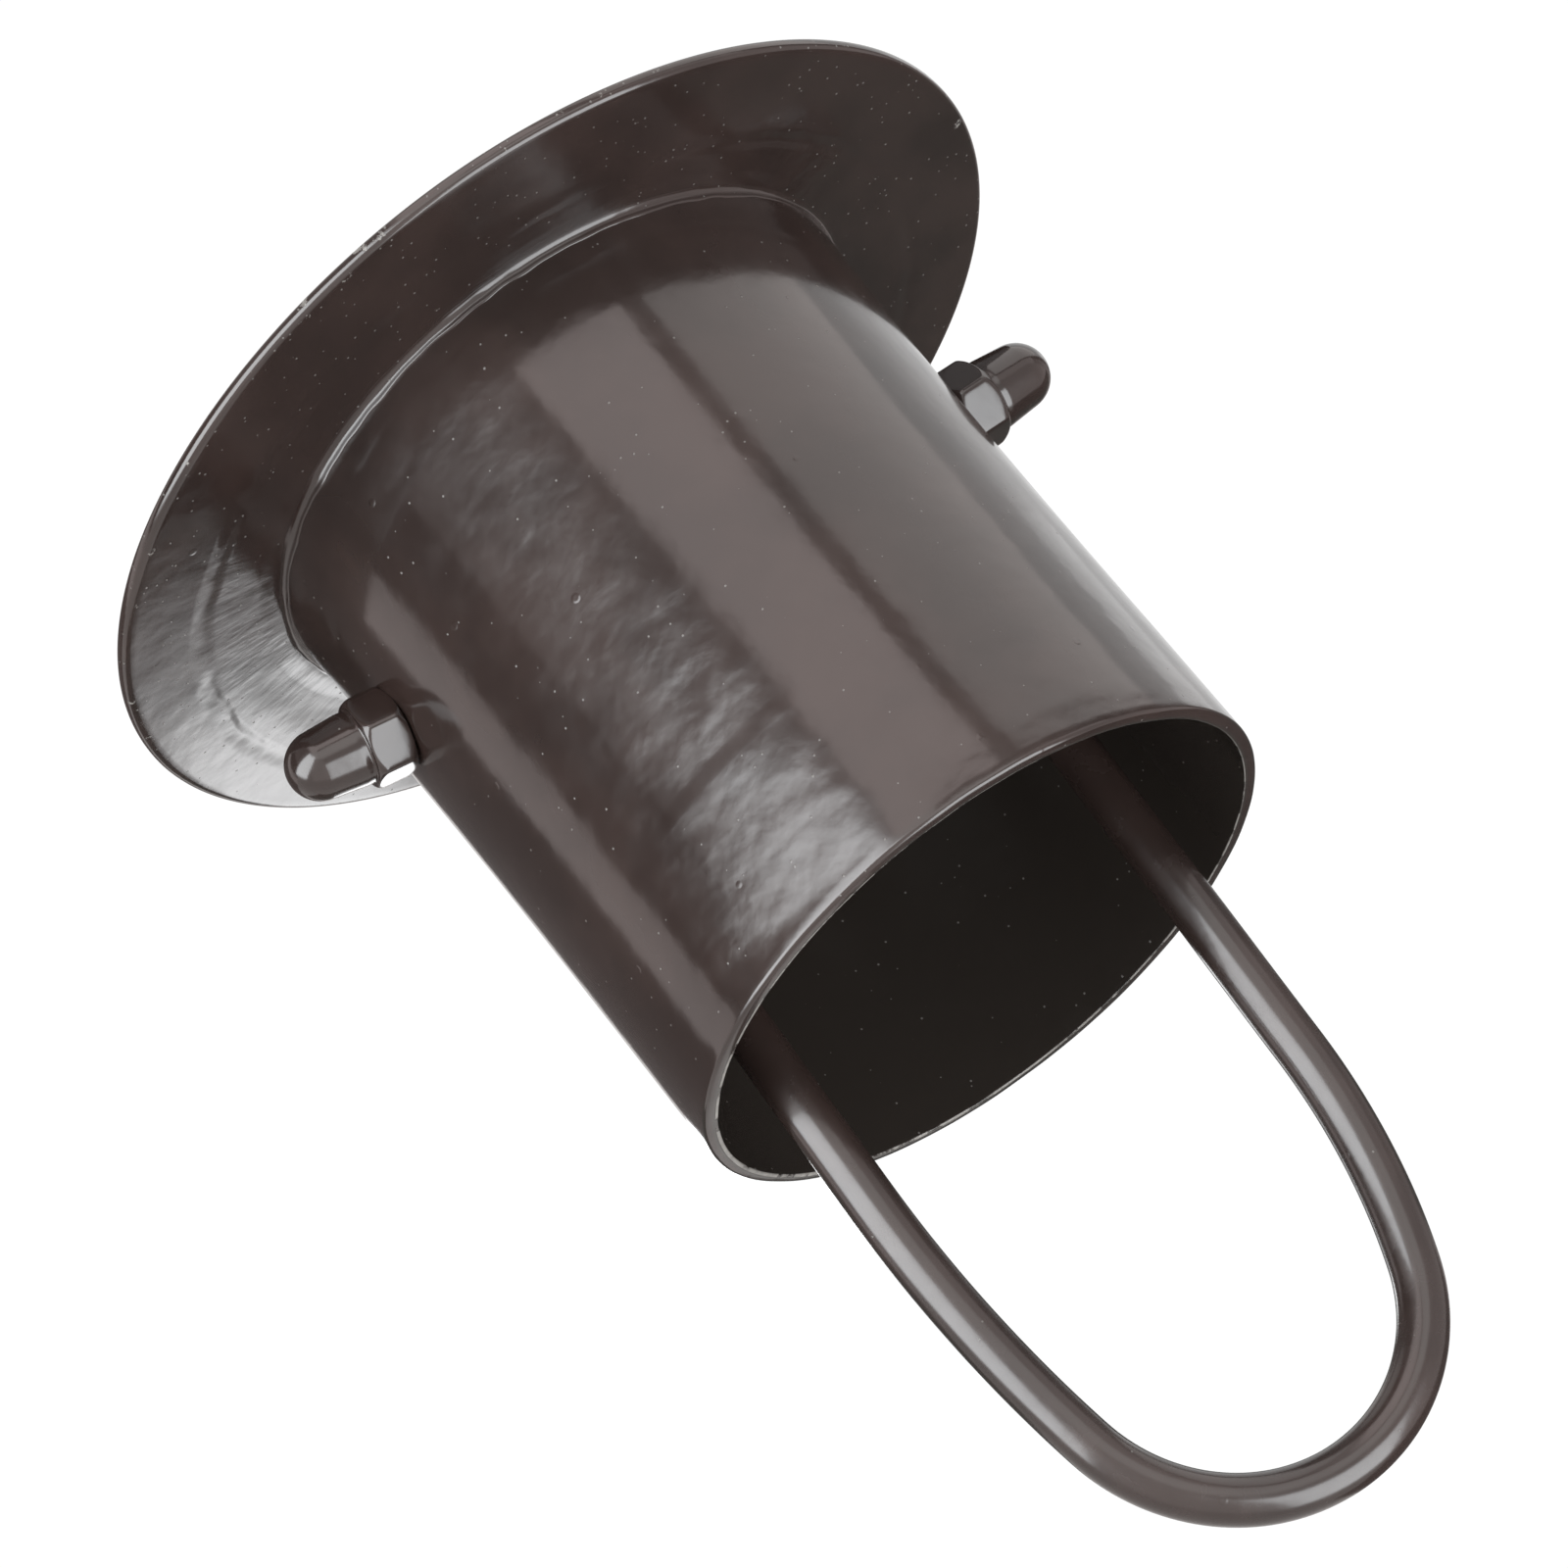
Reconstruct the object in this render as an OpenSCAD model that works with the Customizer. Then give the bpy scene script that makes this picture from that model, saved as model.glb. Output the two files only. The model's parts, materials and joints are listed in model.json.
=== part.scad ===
// Rain chain outlet for a gutter: a flanged tube that drops through the gutter's floor, with a
// swinging wire loop that carries the chain. Sizes are in millimetres. The origin is on the tube's
// axis, level with the underside of the flange. +Z points up and X runs along the loop's pivot.

/* [Tube] */
// Outside diameter of the tube
tube_d = 63; // [58:1:80]
// Thickness of the tube's wall
tube_wall = 1; // [0.8:0.1:2]
// Length of the tube below the flange
tube_len = 70.6; // [60:0.1:100]

/* [Flange] */
// Outside diameter of the flange
flange_d = 102; // [98:1:130]
// Thickness of the flange
flange_t = 1.5; // [1.3:0.1:3]
// Radius that rounds both edges of the flange's rim
flange_edge_r = 0.6; // [0.3:0.1:0.7]
// Leg of the weld fillet between the tube and the flange's underside
weld_leg = 1.8; // [0.8:0.1:2.4]
// Thickness of the weld where it feathers out on the tube and on the flange
weld_toe = 0.2; // [0.1:0.05:0.4]
// Depth of the bevel that the weld fills, at the inner edge of the flange's underside
weld_bevel = 0.5; // [0.2:0.1:1]

/* [Hanging loop] */
// Diameter of the loop's rod
rod_d = 5; // [4:0.5:5.5]
// Distance from the flange's underside down to the pivot
pivot_drop = 19; // [14:1:30]
// Distance from the pivot to the middle of the rod at the bottom of the loop
loop_drop = 108.9; // [100:0.1:150]
// Radius of the loop's bottom, to the middle of the rod
loop_end_r = 18.9; // [13:0.1:19.5]
// Radius of the loop's left side where it closes in, to the middle of the rod
loop_left_r = 134; // [60:1:200]
// Radius of the loop's right side where it closes in, to the middle of the rod
loop_right_r = 71; // [50:1:200]
// Radius of the bend that turns each leg out through the tube, to the middle of the rod
bend_r = 4.8; // [4:0.1:6]
// Straight rod between the bend and the inner nut
bend_gap = 0.2; // [0:0.1:1]
// Angle from plumb at which the loop is drawn
rest_swing = 7.7; // [-15:0.1:15]
// How far the loop has slid along its pivot to the right
loop_slide = 0.8; // [0:0.1:0.8]
// Angle by which each end of the rod points up from square to its leg
end_tilt = 4; // [0:1:5]
// Chamfer on the rod's ends
rod_chamfer = 0.6; // [0.2:0.1:1]

/* [Nuts] */
// Distance across the flats of every nut
nut_flats = 8.4; // [8.2:0.1:10]
// Height of a cap nut, from its seat to the tip of its dome
cap_h = 11.9; // [11.5:0.1:14]
// Height of a cap nut's hexagon
cap_hex_h = 4.3; // [3.5:0.1:5]
// Diameter of a cap nut's dome where it leaves the hexagon
cap_dome_d = 7.6; // [7.2:0.1:7.8]
// Radius of the round end of the dome
cap_tip_r = 3.5; // [3.3:0.1:3.6]
// Radius of the concave fillet at the foot of the dome
cap_foot_r = 0.3; // [0.1:0.05:0.3]
// Depth of the straight part of a cap nut's blind hole
cap_hole_depth = 8.2; // [7:0.1:8.4]
// Length of the rod's end that is screwed into a cap nut
cap_grip = 7.4; // [5:0.1:7.6]
// Thickness of a thin nut inside the tube
jam_h = 2.4; // [2:0.1:4]
// Chamfer angle on the corners of every nut, from the plane of its face
nut_chamfer_angle = 30; // [15:1:40]
// Angle at which the left cap nut stopped turning
cap_turn_left = 37; // [0:1:59]
// Angle at which the right cap nut stopped turning
cap_turn_right = 28; // [0:1:59]

/* [Clearances] */
// Clearance round the rod in each hole of the tube
pivot_gap = 0.25; // [0.2:0.01:0.4]
// Clearance between the tube and each nut when the loop hangs midway
nut_gap = 0.9; // [0.9:0.05:1.5]
// Clearance round the rod inside a nut
thread_gap = 0.03; // [0.01:0.01:0.05]

/* [Hidden] */
$fn = 96;
eps = 0.01;

// Tube and flange
tube_r = tube_d / 2;
bore_r = tube_r - tube_wall;
flange_r = flange_d / 2;
flange_flat_r = flange_r - flange_edge_r;
lip_r = tube_wall / 2;
lip_z = -(tube_len - lip_r);

// Nuts
rod_r = rod_d / 2;
nut_corner_r = nut_flats / 2 / cos(30);
nut_chamfer_h = (nut_corner_r - nut_flats / 2) * tan(nut_chamfer_angle);
nut_hole_r = rod_r + thread_gap;
cap_dome_r = cap_dome_d / 2;
drill_tip_angle = 31;

// The dome of a cap nut is a slight cone that runs into its round end without an edge.
cone_z = cap_hex_h + cap_foot_r;
tip_z = cap_h - cap_tip_r;
cone_taper = acos(cap_tip_r / norm([cap_dome_r, tip_z - cone_z])) - atan2(tip_z - cone_z, cap_dome_r);
cone_end_z = tip_z + cap_tip_r * sin(cone_taper);
cone_end_r = cap_tip_r * cos(cone_taper);

// Along the pivot, from the axis of the tube outwards, before the rod's end is tilted
tilt_room = nut_flats / 2 * sin(end_tilt);
jam_face_x = sqrt(bore_r * bore_r - nut_corner_r * nut_corner_r) - nut_gap - tilt_room;
bend_end_x = jam_face_x - jam_h - bend_gap;
hole_x = tube_r - tube_wall / 2;
cap_seat_x = tube_r + nut_gap + tilt_room;
rod_end_x = cap_seat_x + cap_grip;

// The centre of the bend that turns each leg into its tilted end, and the leg below it
bend_x = hole_x - (hole_x - bend_end_x) * cos(end_tilt) + bend_r * sin(end_tilt);
bend_z = -(hole_x - bend_end_x) * sin(end_tilt) - bend_r * cos(end_tilt);
leg_x = bend_x - bend_r;

// Each side arc leaves its leg at side_drop below the pivot and meets the bottom arc at side_angle.
end_centre = loop_drop - loop_end_r;
function side_drop(side_r) =
  end_centre - sqrt(pow(side_r - loop_end_r, 2) - pow(side_r - leg_x, 2));
function side_angle(side_r) = atan2(end_centre - side_drop(side_r), side_r - leg_x);
left_angle = side_angle(loop_left_r);
right_angle = side_angle(loop_right_r);

// The bends and the side arcs are a hair thinner than the rod and run a little way into their
// neighbours, so that their ends needn't line up with them to the last digit.
joining_rod_r = rod_r - 0.01;
bend_overlap = 0.2 / bend_r * 180 / PI;
side_overlap = 0.5;

steel_brown = [0.23, 0.19, 0.18];
inner_brown = [0.15, 0.13, 0.12];

// An arc of rod in the XZ plane, from angle start through turn degrees
module rod_arc(centre_x, centre_z, radius, start, turn, thick_r = rod_r) {
  translate([centre_x, 0, centre_z])
    rotate([90, 0, 0])
      rotate([0, 0, start])
        rotate_extrude(angle = turn)
          translate([radius, 0])
            circle(r = thick_r);
}

// A hexagon from z = 0 to z = height, with its corners chamfered at both ends
module hex_body(height) {
  intersection() {
    cylinder(h = height, r = nut_corner_r, $fn = 6);
    rotate_extrude()
      polygon([
        [0, 0],
        [nut_flats / 2, 0],
        [nut_corner_r + eps, nut_chamfer_h],
        [nut_corner_r + eps, height - nut_chamfer_h],
        [nut_flats / 2, height],
        [0, height]
      ]);
  }
}

// The concave fillet that leads from a cap nut's hexagon up into its dome
module dome_foot() {
  rotate_extrude()
    difference() {
      translate([rod_r, cap_hex_h])
        square([cap_dome_r + cap_foot_r - rod_r, cap_foot_r]);
      translate([cap_dome_r + cap_foot_r, cap_hex_h + cap_foot_r])
        circle(r = cap_foot_r);
    }
}

// A cap nut that stands on z = 0 with its dome upwards
module cap_nut() {
  difference() {
    union() {
      hex_body(cap_hex_h);
      dome_foot();
      cylinder(h = cone_z, r = cap_dome_r);
      translate([0, 0, cone_z])
        cylinder(h = cone_end_z - cone_z, r1 = cap_dome_r, r2 = cone_end_r);
      translate([0, 0, tip_z])
        sphere(r = cap_tip_r);
    }
    translate([0, 0, -eps])
      cylinder(h = cap_hole_depth + eps, r = nut_hole_r);
    translate([0, 0, cap_hole_depth])
      cylinder(h = nut_hole_r * tan(drill_tip_angle), r1 = nut_hole_r, r2 = 0);
  }
}

// A thin nut that stands on z = 0
module jam_nut() {
  difference() {
    hex_body(jam_h);
    translate([0, 0, -eps])
      cylinder(h = jam_h + 2 * eps, r = nut_hole_r);
  }
}

// Tilts what is drawn straight out along the pivot's right-hand side, about the tube's hole.
module tilt_end() {
  translate([hole_x, 0, 0])
    rotate([0, -end_tilt, 0])
      translate([-hole_x, 0, 0])
        children();
}

// The right-hand half of the loop without its bottom arc, in the XZ plane with the pivot at the
// origin
module half_loop(side_r) {
  side_turn = side_overlap / side_r * 180 / PI;
  tilt_end() {
    translate([rod_end_x - rod_chamfer, 0, 0])
      rotate([0, 90, 0])
        cylinder(h = rod_chamfer, r1 = rod_r, r2 = rod_r - rod_chamfer);
    translate([bend_end_x, 0, 0])
      rotate([0, 90, 0])
        cylinder(h = rod_end_x - rod_chamfer - bend_end_x, r = rod_r);
  }
  rod_arc(bend_x, bend_z, bend_r, 90 + end_tilt - bend_overlap,
          90 - end_tilt + 2 * bend_overlap, joining_rod_r);
  translate([leg_x, 0, -side_drop(side_r)])
    cylinder(h = side_drop(side_r) + bend_z, r = rod_r);
  rod_arc(leg_x - side_r, -side_drop(side_r), side_r, -side_angle(side_r) - side_turn,
          side_angle(side_r) + 2 * side_turn, joining_rod_r);
}

// Puts a child drawn round the pivot in its place under the flange, slid and swung.
module at_pivot() {
  translate([loop_slide, 0, -pivot_drop])
    rotate([rest_swing, 0, 0])
      children();
}

// Stands a nut on the pivot's right-hand side, with its seat at x and its hexagon turned from
// having a corner that points down.
module on_end(x, turn = 0) {
  tilt_end()
    translate([x, 0, 0])
      rotate([0, 90, 0])
        rotate([0, 0, turn])
          children();
}

// The flat ring that rests on the gutter's floor
module flange_ring() {
  color(steel_brown)
    rotate_extrude() {
      polygon([
        [tube_r, weld_bevel],
        [tube_r + weld_leg, 0],
        [flange_flat_r, 0],
        [flange_flat_r, flange_t],
        [tube_r, flange_t]
      ]);
      translate([flange_flat_r, flange_edge_r])
        square([flange_edge_r, flange_t - 2 * flange_edge_r]);
      translate([flange_flat_r, flange_edge_r])
        circle(r = flange_edge_r);
      translate([flange_flat_r, flange_t - flange_edge_r])
        circle(r = flange_edge_r);
    }
}

// The tube, flush with the top of the flange, with a rounded lip and the two pivot holes
module outlet_tube() {
  color(steel_brown)
    difference() {
      rotate_extrude() {
        translate([bore_r, lip_z])
          square([tube_wall, flange_t - lip_z]);
        translate([bore_r + lip_r, lip_z])
          circle(r = lip_r);
      }
      translate([-tube_d, 0, -pivot_drop])
        rotate([0, 90, 0])
          cylinder(h = 2 * tube_d, r = rod_r + pivot_gap);
    }
}

// The concave weld that fills the bevel and the corner between the tube and the flange's underside
module flange_weld() {
  color(inner_brown)
    rotate_extrude()
      difference() {
        polygon([
          [tube_r, weld_bevel],
          [tube_r, -weld_leg],
          [tube_r + weld_leg, -weld_leg],
          [tube_r + weld_leg, 0]
        ]);
        translate([tube_r + weld_leg, -weld_leg])
          circle(r = weld_leg - weld_toe);
      }
}

// One bent rod: a loop below the mouth, legs up inside the tube and ends out through its holes
module hanger_loop() {
  color(steel_brown)
    at_pivot() {
      half_loop(loop_right_r);
      mirror([1, 0, 0])
        half_loop(loop_left_r);
      rod_arc(0, -end_centre, loop_end_r, 180 + left_angle, 180 - left_angle - right_angle);
    }
}

module cap_nut_right() {
  color(steel_brown)
    at_pivot()
      on_end(cap_seat_x, cap_turn_right)
        cap_nut();
}

module cap_nut_left() {
  color(steel_brown)
    at_pivot()
      mirror([1, 0, 0])
        on_end(cap_seat_x, cap_turn_left)
          cap_nut();
}

module jam_nut_right() {
  color(inner_brown)
    at_pivot()
      on_end(jam_face_x - jam_h)
        jam_nut();
}

module jam_nut_left() {
  color(inner_brown)
    at_pivot()
      mirror([1, 0, 0])
        on_end(jam_face_x - jam_h)
          jam_nut();
}

flange_ring();
outlet_tube();
flange_weld();
hanger_loop();
cap_nut_left();
cap_nut_right();
jam_nut_left();
jam_nut_right();
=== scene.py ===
"""The looks of a rain chain gutter outlet: a glossy brown enamelled flange and tube, with a bent rod
loop that hangs from it on two cap nuts. Lengths are in metres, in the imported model's frame."""

import json
import math

import bmesh
import bpy
import numpy as np
from mathutils import Matrix, Vector, noise


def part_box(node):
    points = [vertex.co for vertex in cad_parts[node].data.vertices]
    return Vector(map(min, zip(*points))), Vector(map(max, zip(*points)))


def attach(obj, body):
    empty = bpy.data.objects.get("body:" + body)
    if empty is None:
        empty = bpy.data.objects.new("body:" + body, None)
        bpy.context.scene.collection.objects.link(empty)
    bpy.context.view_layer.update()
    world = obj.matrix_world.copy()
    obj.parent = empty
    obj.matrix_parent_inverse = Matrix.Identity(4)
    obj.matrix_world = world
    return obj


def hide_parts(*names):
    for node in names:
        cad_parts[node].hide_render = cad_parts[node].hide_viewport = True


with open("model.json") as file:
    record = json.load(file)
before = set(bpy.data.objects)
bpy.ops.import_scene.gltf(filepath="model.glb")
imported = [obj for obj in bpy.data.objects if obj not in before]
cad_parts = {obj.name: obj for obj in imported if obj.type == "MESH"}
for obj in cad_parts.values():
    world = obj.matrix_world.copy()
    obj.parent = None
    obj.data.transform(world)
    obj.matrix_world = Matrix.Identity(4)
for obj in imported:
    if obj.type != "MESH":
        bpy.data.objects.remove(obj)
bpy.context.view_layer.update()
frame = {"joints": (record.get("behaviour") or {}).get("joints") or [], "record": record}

MM = 0.001
MOUNTS = {mount["name"]: mount for mount in frame["record"]["mounts"]}
PIVOT = Vector(frame["joints"][0]["pos_m"])

# Tube and flange
TUBE_R = MOUNTS["gutter_hole"]["dims"]["r_mm"] * MM
BORE_R = MOUNTS["tube_mouth"]["dims"]["r_mm"] * MM
WALL_R = (TUBE_R + BORE_R) / 2
TUBE_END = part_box("outlet_tube")[0].z
RING_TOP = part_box("flange_ring")[1].z
RING_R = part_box("flange_ring")[1].x
PIVOT_HOLE_R = 2.75 * MM

# How the real tube departs from a true cylinder: it is a little wide outside and narrow inside,
# leans to one side, flares out where it meets the flange, and is slightly uneven
TUBE_WIDE = 0.30 * MM
BORE_NARROW = 0.10 * MM
TUBE_LEAN = 0.18 * MM
LEAN_ANGLE = math.radians(-25)
FLARE = 1.1 * MM
FLARE_START = -50 * MM
FLARE_POWER = 2.2
TUBE_WAVE = 0.03 * MM

# Its mouth turns out on two sides, and in on the sides between them, from twice as far up. Its lip
# is worn back unevenly
MOUTH_SLOPE = 0.04
MOUTH_DEPTH = 2.0 * MM
LIP_WORN = 0.12 * MM
LIP_H = 1.5 * MM

# The flange is cut a little short on one side, buckled and wavy, and just inside the solid's box
FLANGE_SHORT = 0.35 * MM
FLANGE_BUCKLE = 0.05 * MM
FLANGE_WAVE = 0.035 * MM
BOX_MARGIN = 0.01 * MM

# The weld bead in the corner between them
WELD_LEG = 0.7 * MM
WELD_BULGE = 0.08 * MM
WELD_BURIED = 0.2 * MM

# The hanging loop, with the same sizes as the solid that it stands for
ROD_R = 2.5 * MM
ROD_CHAMFER = 0.6 * MM
LOOP_DROP = 108.88 * MM
LOOP_END_R = 18.9 * MM
LOOP_LEFT_R = 134 * MM
LOOP_RIGHT_R = 71 * MM
LOOP_SLIDE = 0.8 * MM
REST_SWING = math.radians(7.7)
END_TILT = math.radians(4)
BEND_R = 4.8 * MM
BEND_END_X = 26.32 * MM
ROD_END_X = 40.09 * MM
THREAD_START_X = 27 * MM
THREAD_PITCH = 0.8 * MM
THREAD_DEPTH = 0.3 * MM

# How far its middle strays from that route: not at all down to the start, which is measured from
# the pivot, and in full from twice as far down
LOOP_WANDER = 0.07 * MM
WANDER_START = 20 * MM

# Nuts
NUT_FLATS_R = 4.2 * MM
NUT_CORNER_R = NUT_FLATS_R / math.cos(math.radians(30))
CHAMFER_SLOPE = math.tan(math.radians(48))
NUT_CHAMFER = (NUT_CORNER_R - NUT_FLATS_R) * CHAMFER_SLOPE
NUT_HOLE_R = 2.53 * MM
CAP_SEAT_X = 32.69 * MM
CAP_H = 11.9 * MM
CAP_HEX_H = 4.3 * MM
CAP_DOME_R = 3.8 * MM
CAP_TIP_R = 3.5 * MM
CAP_HOLE_DEPTH = 8.2 * MM
CAP_TURN = {"left": math.radians(37), "right": math.radians(28)}
JAM_FACE_X = 28.92 * MM
JAM_H = 2.4 * MM
SIDES = (("left", -1), ("right", 1))

# The camera that matches the photograph, as its place, its right and its up direction
CAMERA_SPOT = Vector((-0.1811, -0.4576, -0.2744))
CAMERA_RIGHT = Vector((0.8193, -0.0281, -0.5727))
CAMERA_UP = Vector((0.4720, -0.5340, 0.7015))
CAMERA_LENS = 130.46
CAMERA_AZIMUTH = math.atan2(CAMERA_SPOT.y, CAMERA_SPOT.x)

# Where round its axis the tube's mouth turns out most, and where it has a slight kink across it
MOUTH_ANGLE = CAMERA_AZIMUTH - math.radians(48)
KINK_ANGLE = CAMERA_AZIMUTH - math.radians(14)
KINK_SIDE = (math.cos(KINK_ANGLE), math.sin(KINK_ANGLE), 0)
KINK_LOW = -52.8 * MM
KINK_HIGH = -50.8 * MM

# How far from the axis the flange's crease runs
CREASE_R = 42.5 * MM

# The direction away from the surface that the object was laid on, and the studio's distances
TABLE_NORMAL = Vector((0, -0.9637, 0.2670))
SKY_R = 0.9
TABLE_SKY_R = SKY_R - 0.03
FLOOR_DEPTH = 125 * MM
FLOOR_SIZE = 0.75

# Enamel and what wears through it
BROWN = (0.036, 0.0235, 0.0205)
LINING = (0.036, 0.030, 0.026, 1)
DUST = (0.16, 0.15, 0.14, 1)
PRIMER_DARK = (0.15, 0.14, 0.13, 1)
PRIMER_PALE = (0.46, 0.44, 0.41, 1)

# Light
WHITE = (1, 1, 1)
WARM = (1, 0.90, 0.885)
PALE = (1, 0.95, 0.93)
ROOM = (1, 0.965, 0.945)
COOL = (0.95, 0.98, 1)
# Colours of the table's painted pool of light and painted shadow, which only reflections show
TABLE_LIGHT = (0.98, 0.99, 1)
TABLE_SHADE = (0.9, 1, 0.95)
DARK = 0.15


# ---------------------------------------------------------------- shapes

def clamp(value, low=0):
    """The value, held between low and 1."""
    return min(1, max(low, value))


def add_object(name, vertices, faces):
    mesh = bpy.data.meshes.new(name)
    mesh.from_pydata([tuple(v) for v in vertices], [], faces)
    mesh.update()
    made = bpy.data.objects.new(name, mesh)
    bpy.context.scene.collection.objects.link(made)
    return made


def skin(name, rings, closed):
    """A smooth surface through rings of points. The first and last ring are joined if closed."""
    count, around = len(rings), len(rings[0])
    faces = []
    for i in range(count if closed else count - 1):
        a, b = i * around, (i + 1) % count * around
        for j in range(around):
            k = (j + 1) % around
            faces.append((a + j, a + k, b + k, b + j))
    made = add_object(name, np.asarray(rings).reshape(-1, 3), faces)
    edit = bmesh.new()
    edit.from_mesh(made.data)
    bmesh.ops.remove_doubles(edit, verts=edit.verts, dist=1e-7)
    if not closed:
        bmesh.ops.holes_fill(edit, edges=[e for e in edit.edges if e.is_boundary], sides=0)
    bmesh.ops.recalc_face_normals(edit, faces=edit.faces)
    for face in edit.faces:
        face.smooth = True
    edit.to_mesh(made.data)
    edit.free()
    return made


def rounded(corners):
    """A path through (x, y, rounding) corners. The rounding is how far a corner is cut back."""
    steps = 6
    path = []
    for i, (x, y, cut) in enumerate(corners):
        corner = Vector((x, y))
        if not cut:
            path.append(corner)
            continue
        before = Vector(corners[i - 1][:2]) - corner
        after = Vector(corners[(i + 1) % len(corners)][:2]) - corner
        first = corner + before.normalized() * cut
        last = corner + after.normalized() * cut
        for k in range(steps + 1):
            t = k / steps
            path.append(first * (1 - t) ** 2 + corner * 2 * t * (1 - t) + last * t * t)
    return path


def spaced(path, gap, closed=False):
    """The same path with extra points, so that no two neighbours are further apart than gap."""
    points = []
    for i, start in enumerate(path):
        if i + 1 == len(path) and not closed:
            points.append(start)
            break
        end = path[(i + 1) % len(path)]
        steps = max(1, math.ceil((end - start).length / gap))
        points += [start.lerp(end, k / steps) for k in range(steps)]
    return points


def lathe(name, profile, around, sway):
    """Turns a closed (radius, height) profile round the Z axis; sway(angle, r, z) moves a point."""
    rings = []
    for r, z in profile:
        ring = []
        for k in range(around):
            angle = math.tau * k / around
            dr, dz = sway(angle, r, z)
            ring.append(((r + dr) * math.cos(angle), (r + dr) * math.sin(angle), z + dz))
        rings.append(ring)
    return skin(name, rings, closed=True)


def ripple(angle, r, z, size, seed):
    """Smooth noise between about -1 and 1 on a turned surface, with features of the given size."""
    spot = Vector((r * math.cos(angle), r * math.sin(angle), z)) / size
    return noise.noise(spot + Vector((seed, -seed, 2 * seed)))


def dress(made, body, slot, material, *stands_for):
    """Gives a piece its material and its body, and hides the nodes that it stands for. Its slot is
    not used.
    """
    made.data.materials.append(material)
    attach(made, body)
    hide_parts(*stands_for)
    return made


# ---------------------------------------------------------------- materials

def add(tree, kind, inputs=None, **settings):
    """Adds a shader node. Inputs are values or the sockets that they are linked from."""
    made = tree.nodes.new("ShaderNode" + kind)
    for name, value in settings.items():
        setattr(made, name, value)
    for key, value in (inputs or {}).items():
        if isinstance(value, bpy.types.NodeSocket):
            tree.links.new(value, made.inputs[key])
        else:
            made.inputs[key].default_value = value
    return made


def blank_material(name):
    """A new material and its node tree, which is empty."""
    material = bpy.data.materials.new(name)
    material.use_nodes = True
    material.node_tree.nodes.clear()
    return material, material.node_tree


def math_node(tree, operation, a, b):
    return add(tree, "Math", {0: a, 1: b}, operation=operation).outputs[0]


def product(tree, first, *others):
    """All the given values, multiplied."""
    total = first
    for value in others:
        total = math_node(tree, "MULTIPLY", total, value)
    return total


def fade(tree, value, start, end, low=0.0, high=1.0):
    """Goes smoothly from low to high as value goes from start to end."""
    inputs = {"Value": value, "From Min": start, "From Max": end, "To Min": low, "To Max": high}
    return add(tree, "MapRange", inputs, interpolation_type="SMOOTHSTEP").outputs[0]


def mix_colour(tree, share, a, b):
    return add(tree, "Mix", {0: share, 6: a, 7: b}, data_type="RGBA").outputs[2]


def clouds(tree, place, scale, detail=3.0, roughness=0.55):
    inputs = {"Vector": place, "Scale": scale, "Detail": detail, "Roughness": roughness}
    return add(tree, "TexNoise", inputs).outputs[0]


def specks(tree, place, scale, radius, share):
    """A mask of small round spots: one in some of the cells of a grid with irregular cells."""
    cells = add(tree, "TexVoronoi", {"Vector": place, "Scale": scale})
    spot = fade(tree, cells.outputs["Distance"], radius, radius * 0.5)
    pick = add(tree, "SeparateColor", {0: cells.outputs["Color"]}).outputs[0]
    return product(tree, spot, math_node(tree, "LESS_THAN", pick, share))


def bumped(tree, height, distance, under=None):
    inputs = {"Height": height, "Distance": distance, "Strength": 1.0}
    if under:
        inputs["Normal"] = under
    return add(tree, "Bump", inputs).outputs[0]


def place_parts(tree, place):
    """The place's distance from the tube's axis, and its height."""
    split = add(tree, "SeparateXYZ", {0: place})
    flat = add(tree, "CombineXYZ", {0: split.outputs[0], 1: split.outputs[1]})
    radius = add(tree, "VectorMath", {0: flat.outputs[0]}, operation="LENGTH").outputs["Value"]
    return radius, split.outputs[2]


def around_axis(tree, place, turn_scale, rise_scale, rise):
    """Noise coordinates with one scale round the tube's axis and another along the rise."""
    flat = add(tree, "VectorMath", {0: place, 1: (1, 1, 0)}, operation="MULTIPLY").outputs[0]
    unit = add(tree, "VectorMath", {0: flat}, operation="NORMALIZE").outputs[0]
    wide = add(tree, "VectorMath", {0: unit, "Scale": turn_scale}, operation="SCALE").outputs[0]
    high = add(tree, "CombineXYZ", {2: product(tree, rise, rise_scale)}).outputs[0]
    return add(tree, "VectorMath", {0: wide, 1: high}, operation="ADD").outputs[0]


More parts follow.
